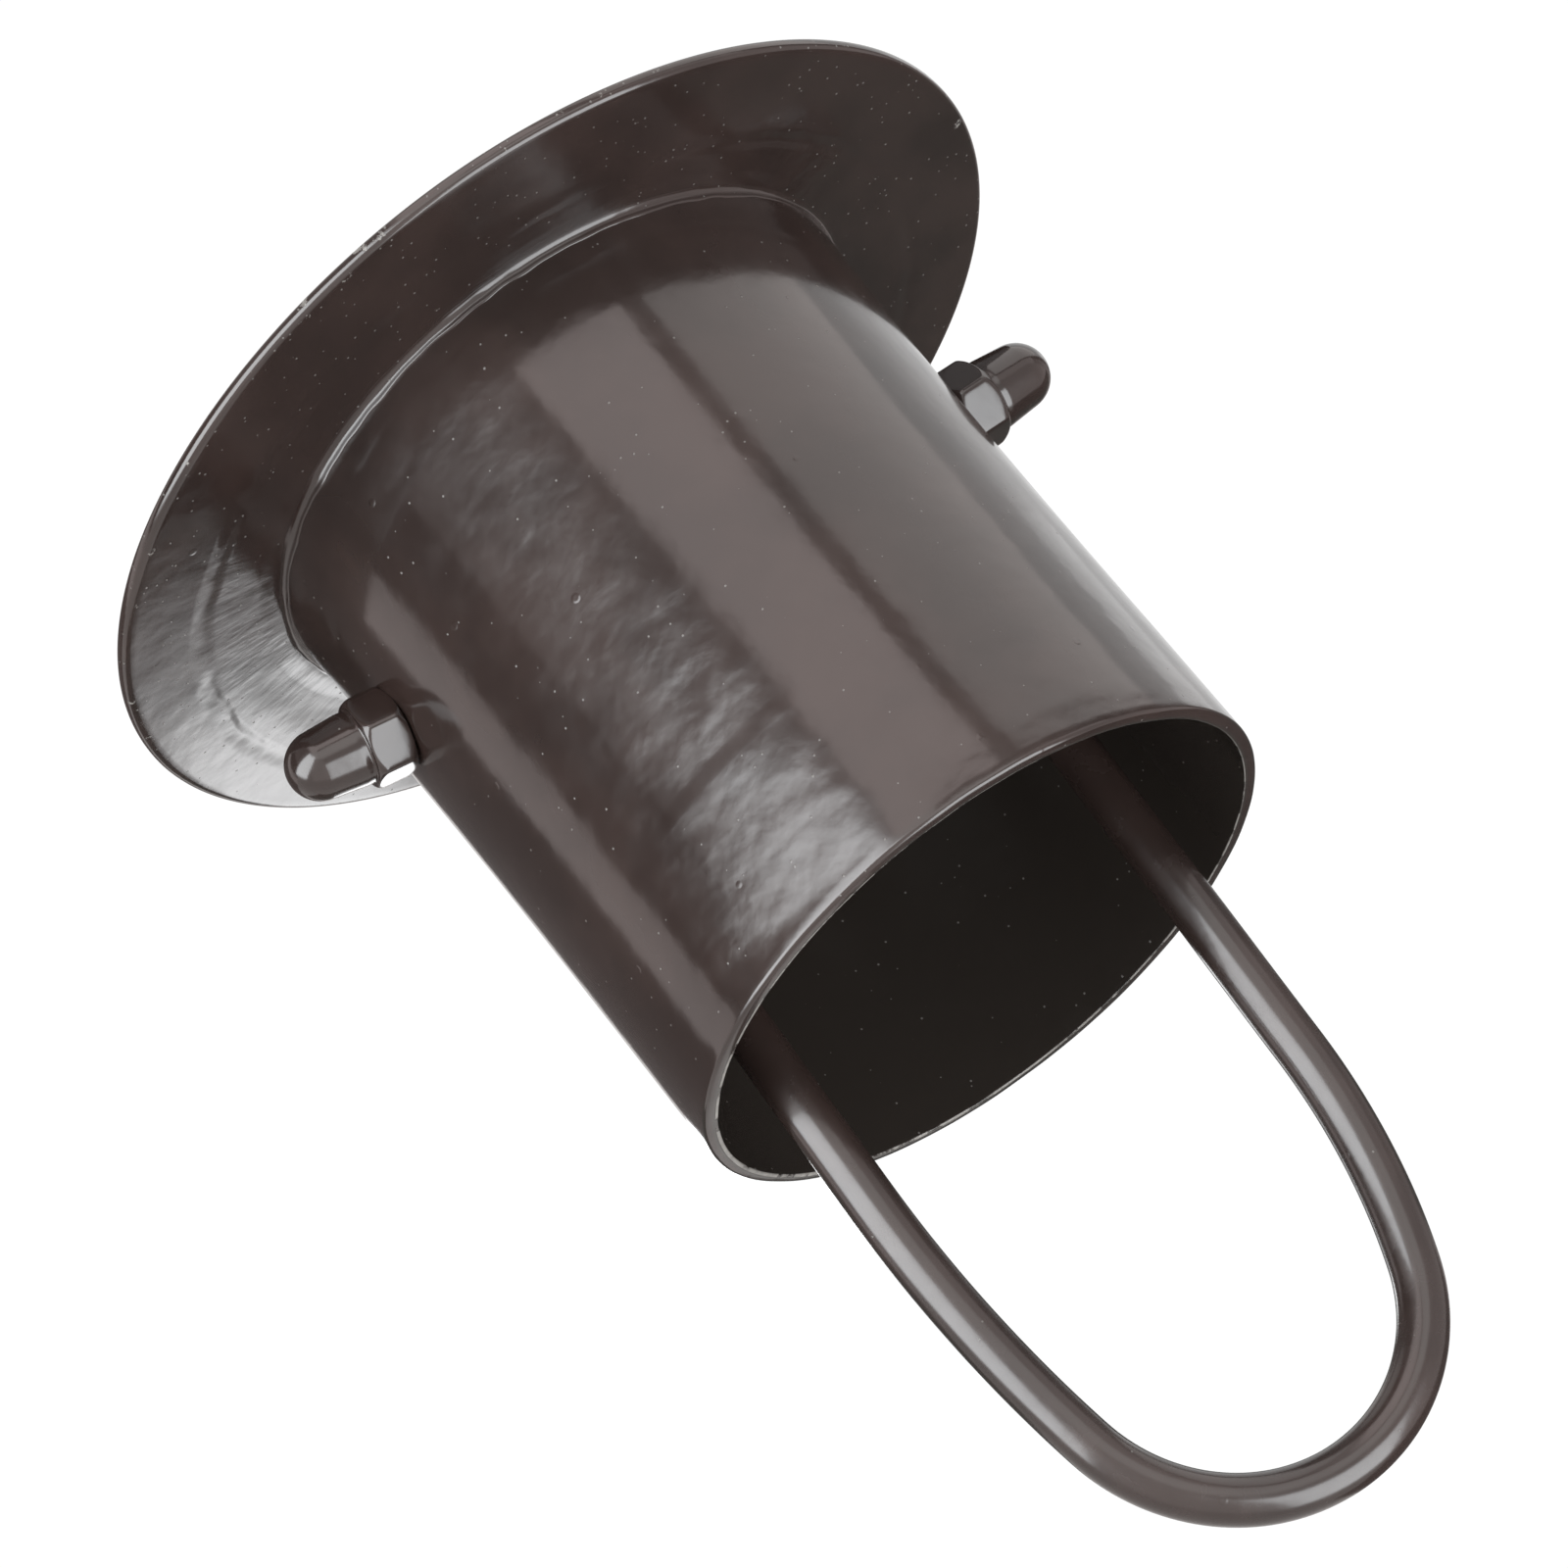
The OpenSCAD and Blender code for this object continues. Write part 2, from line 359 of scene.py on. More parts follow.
def enamel(name, roughness=0.15, relief=None, dust=0.05, wear=None, lining=None):
    """Thick glossy enamel: cloudy colour, orange peel, nibs and dust. relief(tree, place) gives the
    normal of its slow waves, wear(tree, place) a mask of where it has worn to pale primer, which on
    the tube's lip also paints a highlight, and lining(tree, place) a mask of where it is thinner and
    greyer."""
    material, tree = blank_material(name)
    place = add(tree, "TexCoord").outputs["Object"]

    deep = tuple(c * 0.85 for c in BROWN) + (1,)
    light = tuple(c * 1.2 for c in BROWN) + (1,)
    colour = mix_colour(tree, fade(tree, clouds(tree, place, 70), 0.35, 0.65), deep, light)
    if lining:
        colour = mix_colour(tree, lining(tree, place), colour, LINING)
    spots = specks(tree, place, 900, 0.13, dust * 6)
    motes = specks(tree, place, 600, 0.065, dust * 8)
    grains = math_node(tree, "MAXIMUM", spots, motes)
    colour = mix_colour(tree, grains, colour, DUST)

    rough = fade(tree, clouds(tree, place, 260, 5), 0.3, 0.75, roughness * 0.85, roughness * 1.2)
    rough = math_node(tree, "ADD", rough, product(tree, grains, 0.35))

    normal = relief(tree, place) if relief else None
    normal = bumped(tree, clouds(tree, place, 300, 2), 27e-6, normal)
    normal = bumped(tree, clouds(tree, place, 1100, 2), 5e-6, normal)
    nibs = specks(tree, place, 260, 0.14, 0.10)
    normal = bumped(tree, math_node(tree, "ADD", nibs, spots), 18e-6, normal)

    if wear:
        bare = wear(tree, place)
        primer = mix_colour(tree, clouds(tree, place, 1500), PRIMER_DARK, PRIMER_PALE)
        colour = mix_colour(tree, bare, colour, primer)
        rough = math_node(tree, "ADD", rough, product(tree, bare, 0.25))
        normal = bumped(tree, math_node(tree, "SUBTRACT", 1.0, bare), 30e-6, normal)

    shader = add(tree, "BsdfPrincipled", {"Base Color": colour, "Roughness": rough, "Normal": normal})
    shader.inputs["IOR"].default_value = 1.5
    shader.inputs["Coat Weight"].default_value = 0.25
    shader.inputs["Coat Roughness"].default_value = 0.08
    add(tree, "OutputMaterial", {"Surface": shader.outputs[0]})
    return material


def tube_relief(tree, place):
    """Shallow rings left by rolling the tube, stronger towards its mouth, the kink and slow waves."""
    height = place_parts(tree, place)[1]
    rings = clouds(tree, around_axis(tree, place, 5, 230, height), 1.0, 1.5, 0.5)
    deep = fade(tree, height, -26 * MM, -56 * MM, 0.3, 1.0)
    normal = bumped(tree, product(tree, rings, deep), 90e-6)
    wander = product(tree, clouds(tree, place, 90, 2), 1.2 * MM)
    level = math_node(tree, "ADD", height, wander)
    side = add(tree, "VectorMath", {0: place, 1: KINK_SIDE}, operation="DOT_PRODUCT")
    there = fade(tree, side.outputs["Value"], 0.94 * TUBE_R, 0.98 * TUBE_R)
    kink = product(tree, fade(tree, level, KINK_LOW, KINK_HIGH), there)
    normal = bumped(tree, kink, -50e-6, normal)
    return bumped(tree, clouds(tree, place, 110, 2.5), 72e-6, normal)


def flange_relief(tree, place):
    """Radial streaks, a broken crease half way out, and a shallow valley beside the weld."""
    radius = place_parts(tree, place)[0]
    streaks = clouds(tree, around_axis(tree, place, 28, 230, radius), 1.0, 2.5, 0.5)
    inside = fade(tree, radius, CREASE_R, CREASE_R - 3.0 * MM, 0.25, 0.9)
    patches = fade(tree, clouds(tree, place, 60, 1), 0.35, 0.6, 0.4, 1.0)
    normal = bumped(tree, product(tree, streaks, product(tree, inside, patches)), 48e-6)
    normal = bumped(tree, clouds(tree, place, 160, 1.5), 80e-6, normal)

    slant = product(tree, add(tree, "SeparateXYZ", {0: place}).outputs[1], 0.08)
    wander = product(tree, clouds(tree, place, 120, 3), 1.2 * MM)
    line = math_node(tree, "ADD", math_node(tree, "SUBTRACT", radius, slant), wander)
    inner = fade(tree, line, CREASE_R - 1.3 * MM, CREASE_R)
    outer = fade(tree, line, CREASE_R + 1.7 * MM, CREASE_R)
    broken = fade(tree, clouds(tree, place, 80, 2), 0.36, 0.6)
    normal = bumped(tree, product(tree, inner, outer, broken), -110e-6, normal)

    edge = math_node(tree, "ADD", radius, product(tree, wander, 0.8))
    normal = bumped(tree, fade(tree, edge, 42.0 * MM, 37.0 * MM), -170e-6, normal)
    return bumped(tree, fade(tree, edge, 36.2 * MM, 34.0 * MM), 150e-6, normal)


def lip_wear_and_highlight(tree, place):
    """Pale patches along the inner edge of the tube's mouth: worn enamel, and also a painted highlight
    along that edge.
    """
    radius, height = place_parts(tree, place)
    near_end = fade(tree, height, TUBE_END + 0.22 * MM, TUBE_END + 0.10 * MM)
    inner = fade(tree, radius, BORE_R + 0.16 * MM, BORE_R + 0.08 * MM)
    broken = fade(tree, clouds(tree, place, 300, 5, 0.65), 0.42, 0.52)
    return product(tree, near_end, inner, broken)


def bore(tree, place):
    """The inside of the tube."""
    return fade(tree, place_parts(tree, place)[0], WALL_R, WALL_R - 0.2 * MM)


def rim_wear(tree, place):
    """Small chips beside the flange's rim."""
    radius = place_parts(tree, place)[0]
    outer = fade(tree, radius, RING_R - 1.5 * MM, RING_R - 1.0 * MM)
    edge = fade(tree, radius, RING_R - 0.1 * MM, RING_R - 0.5 * MM)
    chips = fade(tree, clouds(tree, place, 420, 5, 0.7), 0.64, 0.68)
    return product(tree, outer, edge, chips)


# ---------------------------------------------------------------- the outlet

def tube_sway(angle, r, z):
    """How far the tube's surface lies from a true cylinder, outwards and upwards."""
    outside = r > WALL_R
    wide = TUBE_WIDE if outside else -BORE_NARROW
    lean = TUBE_LEAN * math.cos(angle - LEAN_ANGLE)
    uneven = TUBE_WAVE * clamp(z / TUBE_END) * ripple(angle, TUBE_R, z, 16 * MM, 3)
    spread = max(0, min(z, 0) - FLARE_START) / -FLARE_START
    flare = FLARE * spread ** FLARE_POWER if outside and z < RING_TOP / 2 else 0
    turn = clamp(1.6 * math.cos(2 * (angle - MOUTH_ANGLE)), -1)
    depth = MOUTH_DEPTH * (1 if turn > 0 else 2)
    bell = MOUTH_SLOPE * turn * max(0, TUBE_END + depth - z) if outside else 0
    worn = LIP_WORN * (0.5 + 0.5 * ripple(angle, TUBE_R, 0, 5 * MM, 7))
    at_mouth = clamp((TUBE_END + LIP_H - z) / LIP_H)
    return wide + lean + flare + bell + uneven, worn * at_mouth


def build_tube():
    corners = [
        (TUBE_R, RING_TOP, 0.15 * MM),
        (TUBE_R, TUBE_END, 0.55 * MM),
        (BORE_R, TUBE_END, 0.12 * MM),
        (BORE_R, RING_TOP, 0.4 * MM),
    ]
    profile = spaced(rounded(corners), 0.8 * MM, closed=True)
    tube = lathe("tube", profile, 360, tube_sway)
    cut_pivot_holes(tube)
    return dress(tube, "outlet", "tube_enamel", TUBE_ENAMEL, "outlet_tube")


def cut_pivot_holes(tube):
    """Drills the tube through both walls, and makes the holes' edges sharp."""
    drill = pivot_drill()
    cut = tube.modifiers.new("holes", "BOOLEAN")
    cut.operation = "DIFFERENCE"
    cut.solver = "EXACT"
    cut.object = drill
    bpy.context.view_layer.update()
    shape = bpy.data.meshes.new_from_object(tube.evaluated_get(bpy.context.evaluated_depsgraph_get()))
    tube.modifiers.clear()
    tube.data = shape
    bpy.data.objects.remove(drill)
    edit = bmesh.new()
    edit.from_mesh(shape)
    for edge in edit.edges:
        edge.smooth = len(edge.link_faces) < 2 or edge.calc_face_angle(0) < math.radians(40)
    edit.to_mesh(shape)
    edit.free()


def pivot_drill():
    """A plain cylinder along the pivot, which reaches out past both walls."""
    turns = [math.tau * k / 64 for k in range(64)]
    rings = []
    for x in (-1.1 * TUBE_R, 1.1 * TUBE_R):
        rings.append([(x, PIVOT_HOLE_R * math.cos(a), PIVOT.z + PIVOT_HOLE_R * math.sin(a))
                      for a in turns])
    return skin("drill", rings, closed=False)


def ring_sway(angle, r, z):
    """How far the flange's surface lies from a flat ring, more towards its rim."""
    out = (r - TUBE_R) / (RING_R - TUBE_R)
    buckle = FLANGE_BUCKLE * out * math.cos(3 * angle + 0.7)
    warp = buckle + FLANGE_WAVE * out * ripple(angle, r, 0, 22 * MM, 5)
    short = -FLANGE_SHORT * out * max(0, math.cos(angle - CAMERA_AZIMUTH))
    return short - BOX_MARGIN, -abs(warp) if z > RING_TOP / 2 else warp


def build_flange():
    corners = [
        (TUBE_R, RING_TOP, 0.15 * MM),
        (RING_R, RING_TOP, 0.6 * MM),
        (RING_R, 0, 0.8 * MM),
        (TUBE_R, 0, 0.1 * MM),
    ]
    profile = spaced(rounded(corners), 0.6 * MM, closed=True)
    ring = lathe("flange", profile, 480, ring_sway)
    return dress(ring, "outlet", "brown_enamel", FLANGE_ENAMEL, "flange_ring")


def weld_sway(angle, r, z):
    """The bead is uneven: its edges wander in and out along the joint."""
    leg = 0.35 * ripple(angle, TUBE_R, 0, 7 * MM, 11) + 0.2 * ripple(angle, TUBE_R, 0, 2.5 * MM, 4)
    out = max(0, r - TUBE_R)
    shift = tube_sway(angle, TUBE_R, -0.3 * MM)[0]
    return out * leg + shift, min(0, z) * leg


def build_weld():
    """A hollow fillet, with a low ridge along its lower edge. Its back is buried in the tube."""
    ridge = [
        Vector((TUBE_R - 0.1 * MM, -WELD_LEG - 0.35 * MM)),
        Vector((TUBE_R + 0.03 * MM, -WELD_LEG - 0.22 * MM)),
        Vector((TUBE_R + WELD_BULGE, -WELD_LEG - 0.08 * MM)),
    ]
    fillet = [Vector((TUBE_R + WELD_BULGE + WELD_LEG * (1 - math.cos(a)),
                      -WELD_LEG + WELD_LEG * math.sin(a)))
              for a in np.linspace(0.1, math.pi / 2 - 0.1, 12)]
    edge = [Vector((TUBE_R + WELD_LEG * 1.10, 0.02 * MM)), Vector((TUBE_R + WELD_LEG, 0.1 * MM))]
    back = [Vector((TUBE_R - WELD_BURIED, 0.1 * MM)), Vector((TUBE_R - WELD_BURIED, -WELD_LEG))]
    weld = lathe("weld", ridge + fillet + edge + back, 720, weld_sway)
    return dress(weld, "outlet", "brown_enamel", WELD_ENAMEL, "flange_weld")


# ---------------------------------------------------------------- the hanger

def arc(centre, radius, start, end, steps):
    """Points (x, z) on an arc in the loop's plane, with angles from +X towards +Z."""
    return [Vector((centre[0] + radius * math.cos(a), centre[1] + radius * math.sin(a)))
            for a in np.linspace(start, end, steps)]


def half_route(side_r):
    """The rod's middle from its right-hand end to the start of the bottom arc, and that arc's angle."""
    end_run = Vector((math.cos(END_TILT), math.sin(END_TILT)))
    hole = Vector((WALL_R, 0))
    rod_end = hole + end_run * (ROD_END_X - WALL_R)
    bend_start = hole + end_run * (BEND_END_X - WALL_R)
    bend = bend_start + BEND_R * Vector((math.sin(END_TILT), -math.cos(END_TILT)))
    leg_x = bend.x - BEND_R
    end_centre = LOOP_DROP - LOOP_END_R
    across = side_r - leg_x
    rise = math.sqrt((side_r - LOOP_END_R) ** 2 - across ** 2)
    side_drop = end_centre - rise
    side_angle = math.atan2(rise, across)
    route = [rod_end]
    route += arc(bend, BEND_R, math.pi / 2 + END_TILT, math.pi, 14)
    route += arc((leg_x - side_r, -side_drop), side_r, 0, -side_angle, 40)
    return route, side_angle


def loop_route():
    """The rod's middle from its right-hand end round the loop to its left-hand end."""
    right, right_angle = half_route(LOOP_RIGHT_R)
    left, left_angle = half_route(LOOP_LEFT_R)
    bottom = arc((0, LOOP_END_R - LOOP_DROP), LOOP_END_R, -right_angle, left_angle - math.pi, 70)
    mirrored = [Vector((-p.x, p.y)) for p in reversed(left)]
    return right[:-1] + bottom + mirrored[1:]


def at_pivot():
    """From the loop's own plane, with the pivot at its origin, to the loop's place at rest."""
    spot = PIVOT + Vector((LOOP_SLIDE, 0, 0))
    return Matrix.Translation(spot) @ Matrix.Rotation(REST_SWING, 4, "X")


def on_end(side, x, turn):
    """From a nut that stands on the XY plane to its place on the pivot's left or right end."""
    mirror = Matrix.Scale(side, 4, (1, 0, 0))
    tilt = (Matrix.Translation((WALL_R, 0, 0)) @ Matrix.Rotation(-END_TILT, 4, "Y")
            @ Matrix.Translation((x - WALL_R, 0, 0)))
    upright = Matrix.Rotation(math.pi / 2, 4, "Y") @ Matrix.Rotation(turn, 4, "Z")
    return at_pivot() @ mirror @ tilt @ upright


def thread(x, angle):
    """How much lower the thread's groove is than the rod's surface."""
    start = clamp((abs(x) - THREAD_START_X) / MM)
    return THREAD_DEPTH * start * (0.5 - 0.5 * math.cos(math.tau * x / THREAD_PITCH + angle))


def stray(point):
    """How far the rod's middle strays from its route at a point, sideways and forwards."""
    reach = LOOP_WANDER * clamp((-point.y - WANDER_START) / WANDER_START)
    sideways = noise.noise((point.x / 0.02, point.y / 0.02, 1))
    forwards = noise.noise((point.x / 0.03, point.y / 0.03, 5))
    return Vector((reach * sideways, reach * forwards, 0))


def build_loop():
    around = 48
    middle = spaced(loop_route(), 0.4 * MM)
    travelled = [0.0]
    for a, b in zip(middle, middle[1:]):
        travelled.append(travelled[-1] + (b - a).length)
    place = at_pivot()
    last = len(middle) - 1
    rings = []
    for i, point in enumerate(middle):
        before, after = middle[max(0, i - 1)], middle[min(last, i + 1)]
        along = (after - before).normalized()
        side = Vector((-along.y, 0, along.x))
        to_end = min(travelled[i], travelled[-1] - travelled[i])
        chamfer = ROD_CHAMFER * max(0, 1 - to_end / ROD_CHAMFER)
        centre = Vector((point.x, 0, point.y)) + stray(point)
        ring = []
        for k in range(around):
            angle = math.tau * k / around
            r = ROD_R - chamfer - thread(point.x, angle)
            out = side * math.cos(angle) + Vector((0, 1, 0)) * math.sin(angle)
            ring.append(place @ (centre + out * r))
        rings.append(ring)
    loop = skin("loop", rings, closed=False)
    return dress(loop, "hanger", "rod_enamel", ROD_ENAMEL, "hanger_loop")


def hex_radius(angle):
    """The radius of a hexagon with a corner at angle 0, its corners rounded by the enamel."""
    power = 26
    total = 0
    for k in range(6):
        total += max(0, math.cos(angle - math.radians(30 + 60 * k))) ** power
    return NUT_FLATS_R * total ** (-1 / power)


def lower_of(a, b):
    """The smaller of two lengths, with a smooth passage between them."""
    blend = 0.16 * MM
    return 0.5 * (a + b - math.sqrt((a - b) ** 2 + blend ** 2)) + 0.2 * blend


def nut(name, profile, place):
    """A nut from its (radius, height) profile, cut to a hexagon where it is wider than its dome."""
    around = 192
    limits = [hex_radius(math.tau * k / around) for k in range(around)]
    rings = []
    for r, z in profile:
        ring = []
        for k in range(around):
            angle = math.tau * k / around
            cut = lower_of(r, limits[k]) if r > CAP_DOME_R * 1.02 else r
            ring.append(place @ Vector((cut * math.cos(angle), cut * math.sin(angle), z)))
        rings.append(ring)
    return skin(name, rings, closed=False)


def hex_corners(height):
    """A nut's outside from its base to its top face, which the hexagon then cuts."""
    past_corner = 0.25 * MM
    chamfer = NUT_CHAMFER + past_corner * CHAMFER_SLOPE
    return [
        (NUT_FLATS_R, 0, 0.12 * MM),
        (NUT_CORNER_R + past_corner, chamfer, 0),
        (NUT_CORNER_R + past_corner, height - chamfer, 0),
        (NUT_FLATS_R, height, 0.3 * MM),
    ]


def build_cap_nut(side_name, side):
    """A hexagon with a fillet up to a neck, a slight cone, and a domed tip."""
    neck = CAP_HEX_H + 0.8 * MM
    tip = CAP_H - CAP_TIP_R
    dome = [(CAP_TIP_R * math.cos(a), tip + CAP_TIP_R * math.sin(a), 0)
            for a in np.linspace(0.06, math.pi / 2, 22)]
    corners = [
        (1e-9, CAP_HOLE_DEPTH + 1.5 * MM, 0),
        (NUT_HOLE_R, CAP_HOLE_DEPTH, 0),
        (NUT_HOLE_R, 0, 0.1 * MM),
        *hex_corners(CAP_HEX_H),
        (CAP_DOME_R - 0.05 * MM, CAP_HEX_H - 0.1 * MM, 0.35 * MM),
        (CAP_DOME_R, neck, 0.2 * MM),
        *dome,
    ]
    place = on_end(side, CAP_SEAT_X, CAP_TURN[side_name])
    made = nut(f"acorn_{side_name}", spaced(rounded(corners), 0.12 * MM), place)
    return dress(made, "hanger", "nut_enamel", NUT_ENAMEL, f"cap_nut_{side_name}")


def build_jam_nut(side_name, side):
    corners = [
        (NUT_HOLE_R, JAM_H, 0.1 * MM),
        (NUT_HOLE_R, 0, 0.1 * MM),
        *hex_corners(JAM_H),
    ]
    profile = spaced(rounded(corners), 0.2 * MM)
    made = nut(f"thin_{side_name}", profile + profile[:1], on_end(side, JAM_FACE_X - JAM_H, 0))
    return dress(made, "hanger", "nut_enamel", NUT_ENAMEL, f"jam_nut_{side_name}")


# ---------------------------------------------------------------- camera, floor and light

def add_camera():
    camera = bpy.data.objects.new("camera", bpy.data.cameras.new("camera"))
    right = CAMERA_RIGHT.normalized()
    back = right.cross(CAMERA_UP).normalized()
    up = back.cross(right)
    turn = Matrix((right, up, back)).transposed().to_4x4()
    camera.matrix_world = Matrix.Translation(CAMERA_SPOT) @ turn
    camera.data.lens = CAMERA_LENS
    camera.data.sensor_width = 36
    camera.data.clip_start = 0.01
    bpy.context.scene.collection.objects.link(camera)
    bpy.context.scene.camera = camera


def glossy_only(card, colour, strength):
    """Makes a card that shows only in reflections, and fades out where its "glow" is low."""
    material, tree = blank_material(card.name)
    glow = add(tree, "Attribute", attribute_name="glow").outputs["Fac"]
    light = add(tree, "Emission", {"Color": (*colour, 1), "Strength": strength}).outputs[0]
    clear = add(tree, "BsdfTransparent").outputs[0]
    mixed = add(tree, "MixShader", {0: glow, 1: clear, 2: light}).outputs[0]
    add(tree, "OutputMaterial", {"Surface": mixed})
    card.data.materials.append(material)
    card.visible_camera = False
    card.visible_diffuse = False
    card.visible_shadow = False
    card.visible_transmission = False


def soft(t, low, high):
    """A fade in over the first share of 0 to 1, and a fade out over the last."""
    rise = min(1, t / low) if low else 1
    fall = min(1, (1 - t) / high) if high else 1
    return (rise * rise * (3 - 2 * rise)) * (fall * fall * (3 - 2 * fall))


def card(name, spot, strength, colour, fades=(0, 0, 0, 0)):
    """A card through spot(u, v), with u and v from 0 to 1, and its fades at low u, high u, low v
    and high v."""
    steps = 24
    points, glow, faces = [], [], []
    for i in range(steps + 1):
        for j in range(steps + 1):
            u, v = i / steps, j / steps
            points.append(spot(u, v))
            glow.append(soft(u, *fades[:2]) * soft(v, *fades[2:]))
    for i in range(steps):
        for j in range(steps):
            k = i * (steps + 1) + j
            faces.append((k, k + 1, k + steps + 2, k + steps + 1))
    made = add_object(name, points, faces)
    made.data.attributes.new("glow", "FLOAT", "POINT").data.foreach_set("value", glow)
    glossy_only(made, colour, strength)


def sky_card(name, azimuths, elevations, strength, colour=WARM):
    """A card on a sphere round the object. Its edges are azimuths from the camera's and elevations,
    in degrees."""
    def spot(u, v):
        a = math.radians(azimuths[0] + (azimuths[1] - azimuths[0]) * u) + CAMERA_AZIMUTH
        e = math.radians(elevations[0] + (elevations[1] - elevations[0]) * v)
        return SKY_R * Vector((math.cos(a) * math.cos(e), math.sin(a) * math.cos(e), math.sin(e)))
    card(name, spot, strength, colour)


def table_card(name, corners, strength, colour, fades):
    """A card just inside that sphere. Its corners are azimuths from the camera's and elevations, in
    degrees over the table: bottom left, bottom right, top right, top left."""
    up = TABLE_NORMAL.normalized()
    front = CAMERA_SPOT - up * CAMERA_SPOT.dot(up)
    front.normalize()
    side = up.cross(front)
    if side.dot(CAMERA_RIGHT) < 0:
        side = -side
    low_left, low_right, high_right, high_left = [Vector(c) for c in corners]

    def spot(u, v):
        turn = low_left.lerp(low_right, u).lerp(high_left.lerp(high_right, u), v)
        a, e = math.radians(turn.x), math.radians(turn.y)
        flat = front * math.cos(a) + side * math.sin(a)
        return TABLE_SKY_R * (flat * math.cos(e) + up * math.sin(e))
    card(name, spot, strength, colour, fades)


def floor_card(name, depth, xs, zs, strength, colour, fades):
    """A card that lies along the table, at a depth behind the object's centre."""
    def spot(u, v):
        x, z = xs[0] + (xs[1] - xs[0]) * u, zs[0] + (zs[1] - zs[0]) * v
        y = (-depth - TABLE_NORMAL.z * z) / TABLE_NORMAL.y
        return Vector((x, y, z))
    card(name, spot, strength, colour, fades)


def add_sky_cards():
    """The room's panels and the gaps between them, as the enamel mirrors them. Those on the right
    stand over a dark gap, which the tube's mouth mirrors, and low panels, which the rod mirrors."""
    top, panel_foot, gap_foot = 60, 14.6, 10.6
    sky_card("panel_front", (2.5, 43), (14, top), 2.4)
    sky_card("seam_front", (43, 51), (panel_foot, top), 0.5)
    sky_card("dark_strip", (18, 48), (gap_foot, 14), DARK)
    sky_card("panel_right", (51, 110), (panel_foot, top), 1.75, PALE)
    sky_card("panel_far", (110, 128), (12, top), 1.0, WHITE)
    sky_card("panel_far_high", (128, 145), (22.6, top), 1.05, WHITE)
    sky_card("panel_far_low", (128, 145), (12, 22.6), 1.5, WHITE)
    sky_card("panel_end", (145, 182), (12, top), 0.95, WHITE)
    sky_card("low_front", (48, 84), (-6, gap_foot), 1.25)
    sky_card("dark_middle", (48, 84), (gap_foot, panel_foot), DARK)
    sky_card("dark_right", (84, 182), (6, panel_foot), DARK)
    sky_card("low_right", (84, 182), (-6, 6), 0.6)
    sky_card("low_side", (48, 125), (-60, -6), 0.9)
    sky_card("dark_low", (125, 182), (-60, -6), 0.12)
    sky_card("dark_front", (-54, 2.5), (5, top), 0.5)
    sky_card("dark_left", (-84, -54), (5, top), DARK)
    sky_card("panel_left", (-103, -84), (5, top), 1.2)
    sky_card("dark_back", (-162, -103), (5, top), DARK)


def add_table_cards():
    """The front of the room, and a bright light on either side of it."""
    room = ((-32, -12), (22, -12), (22, 64), (-32, 64))
    table_card("room_front", room, 1.3, PALE, (0.1, 0.1, 0.1, 0.1))
    left = ((-81.5, -8), (-46, -8), (-20, 70), (-81.5, 72))
    table_card("light_left", left, 8.5, COOL, (0.11, 0.08, 0.1, 0.1))
    right = ((20, -18), (56, -20), (64, 36), (20, 40))
    table_card("light_right", right, 7.0, COOL, (0.1, 0.08, 0.15, 0.1))


def add_floor_cards():
    """Painted light and shadow for reflections: a bright patch of table, as if lit, that the left of
    the flange mirrors, with a dimmer apron, and a dark card round them that paints the object's shadow."""
    # These cards paint the table's pool of light and the object's shadow on it
    floor_card("table_painted_light", 0.115, (-0.024, 0.010), (-0.058, -0.020), 5.4, TABLE_LIGHT,
               (0.1, 0.55, 0.3, 0.1))
    floor_card("table_apron", 0.117, (-0.026, 0.006), (-0.070, -0.020), 1.2, TABLE_LIGHT,
               (0.05, 0.1, 0.1, 0.1))
    floor_card("table_painted_shadow", 0.118, (-0.1, 0.4), (-0.095, -0.022), 0.12, TABLE_SHADE, (0, 0, 0, 0))


def add_world():
    """White for the camera, an even light, and a room that is bright overhead in reflections."""
    world = bpy.data.worlds.new("studio")
    bpy.context.scene.world = world
    world.use_nodes = True
    tree = world.node_tree
    tree.nodes.clear()
    path = add(tree, "LightPath")
    way = add(tree, "TexCoord").outputs["Generated"]
    height = add(tree, "VectorMath", {0: way, 1: tuple(TABLE_NORMAL)}, operation="DOT_PRODUCT")
    overhead = fade(tree, height.outputs["Value"], 0.80, 0.90, 0.9, 2.2)
    even = add(tree, "Background", {"Color": (*WHITE, 1), "Strength": 0.75}).outputs[0]
    room = add(tree, "Background", {"Color": (*ROOM, 1), "Strength": overhead}).outputs[0]
    backdrop = add(tree, "Background", {"Color": (*WHITE, 1), "Strength": 1}).outputs[0]
    light = add(tree, "MixShader", {0: path.outputs["Is Glossy Ray"], 1: even, 2: room}).outputs[0]
    seen = add(tree, "MixShader", {0: path.outputs["Is Camera Ray"], 1: light, 2: backdrop})
    add(tree, "OutputWorld", {"Surface": seen.outputs[0]})


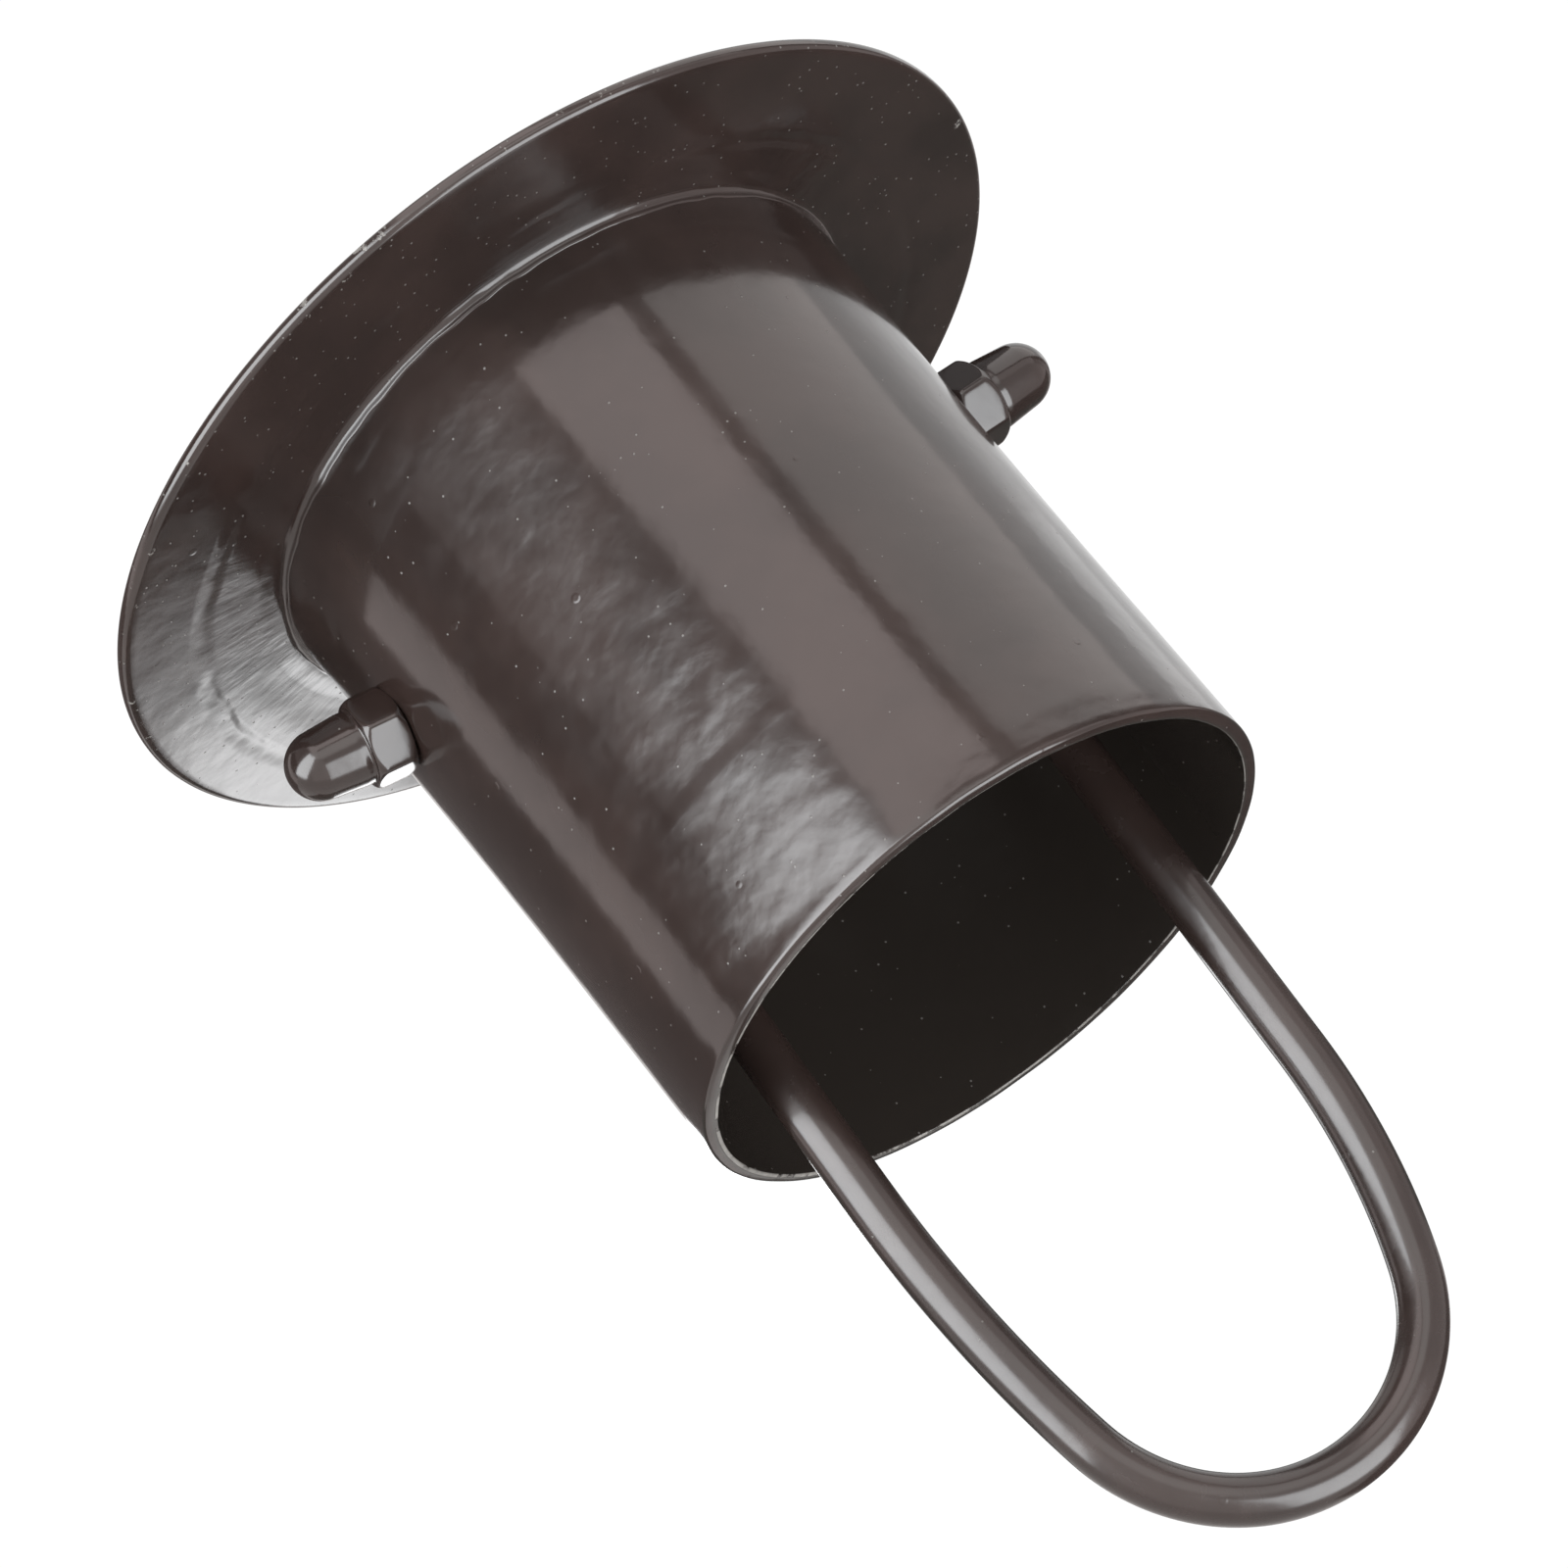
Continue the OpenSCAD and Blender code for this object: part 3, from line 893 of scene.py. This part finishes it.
def floor_paint():
    """White with a trace of shadow to the camera and through glass, grey paint to all other light,
    and clear from behind."""
    material, tree = blank_material("floor")
    path = add(tree, "LightPath").outputs
    seen = math_node(tree, "MAXIMUM", path["Is Camera Ray"], path["Is Transmission Ray"])
    paint = add(tree, "BsdfDiffuse", {"Color": (0.85, 0.85, 0.85, 1)}).outputs[0]
    white = add(tree, "Emission", {"Color": (*WHITE, 1), "Strength": 1.05}).outputs[0]
    backdrop = add(tree, "MixShader", {0: 0.12, 1: white, 2: paint}).outputs[0]
    front = add(tree, "MixShader", {0: seen, 1: paint, 2: backdrop}).outputs[0]
    behind = add(tree, "NewGeometry").outputs["Backfacing"]
    clear = add(tree, "BsdfTransparent").outputs[0]
    sheet = add(tree, "MixShader", {0: behind, 1: front, 2: clear}).outputs[0]
    add(tree, "OutputMaterial", {"Surface": sheet})
    return material


def add_floor():
    """A white sheet along the table behind the object. Reflections leave it out: the cards stand
    for the table there, with its pool of light and the object's shadow painted on them."""
    up = TABLE_NORMAL.normalized()
    across = Vector((1, 0, 0))
    along = up.cross(across)
    corners = [FLOOR_SIZE * (a * across + b * along) - FLOOR_DEPTH * up
               for a, b in ((-1, -1), (1, -1), (1, 1), (-1, 1))]
    floor = add_object("floor", corners, [(0, 1, 2, 3)])
    floor.data.materials.append(floor_paint())
    floor.visible_glossy = False


def add_lamp(name, towards, power):
    """A soft square lamp, a metre away in the given direction, which faces the object and doesn't
    show in reflections."""
    lamp = bpy.data.objects.new(name, bpy.data.lights.new(name, "AREA"))
    lamp.data.shape = "SQUARE"
    lamp.data.size = 0.5
    lamp.data.energy = power
    lamp.location = Vector(towards).normalized()
    lamp.rotation_euler = Vector(towards).to_track_quat("Z", "Y").to_euler()
    lamp.visible_camera = False
    lamp.visible_glossy = False
    bpy.context.scene.collection.objects.link(lamp)


# ---------------------------------------------------------------- the whole

# The tube's lip mask is worn enamel and also a painted highlight along the mouth's inner edge
TUBE_ENAMEL = enamel("tube_enamel", relief=tube_relief, dust=0.035, wear=lip_wear_and_highlight, lining=bore)
FLANGE_ENAMEL = enamel("flange_enamel", relief=flange_relief, dust=0.09, wear=rim_wear)
WELD_ENAMEL = enamel("weld_enamel")
ROD_ENAMEL = enamel("rod_enamel", roughness=0.25, dust=0.01)
NUT_ENAMEL = enamel("nut_enamel", dust=0.01)

add_camera()
build_tube()
build_flange()
build_weld()
build_loop()
for side_name, side in SIDES:
    build_cap_nut(side_name, side)
for side_name, side in SIDES:
    build_jam_nut(side_name, side)

add_world()
add_sky_cards()
add_table_cards()
add_floor_cards()
add_floor()
add_lamp("lamp_left", (-0.79, -0.60, 0.13), 4)
add_lamp("lamp_right", (0.21, -0.50, -0.84), 3)

bpy.context.scene.view_settings.view_transform = "Standard"
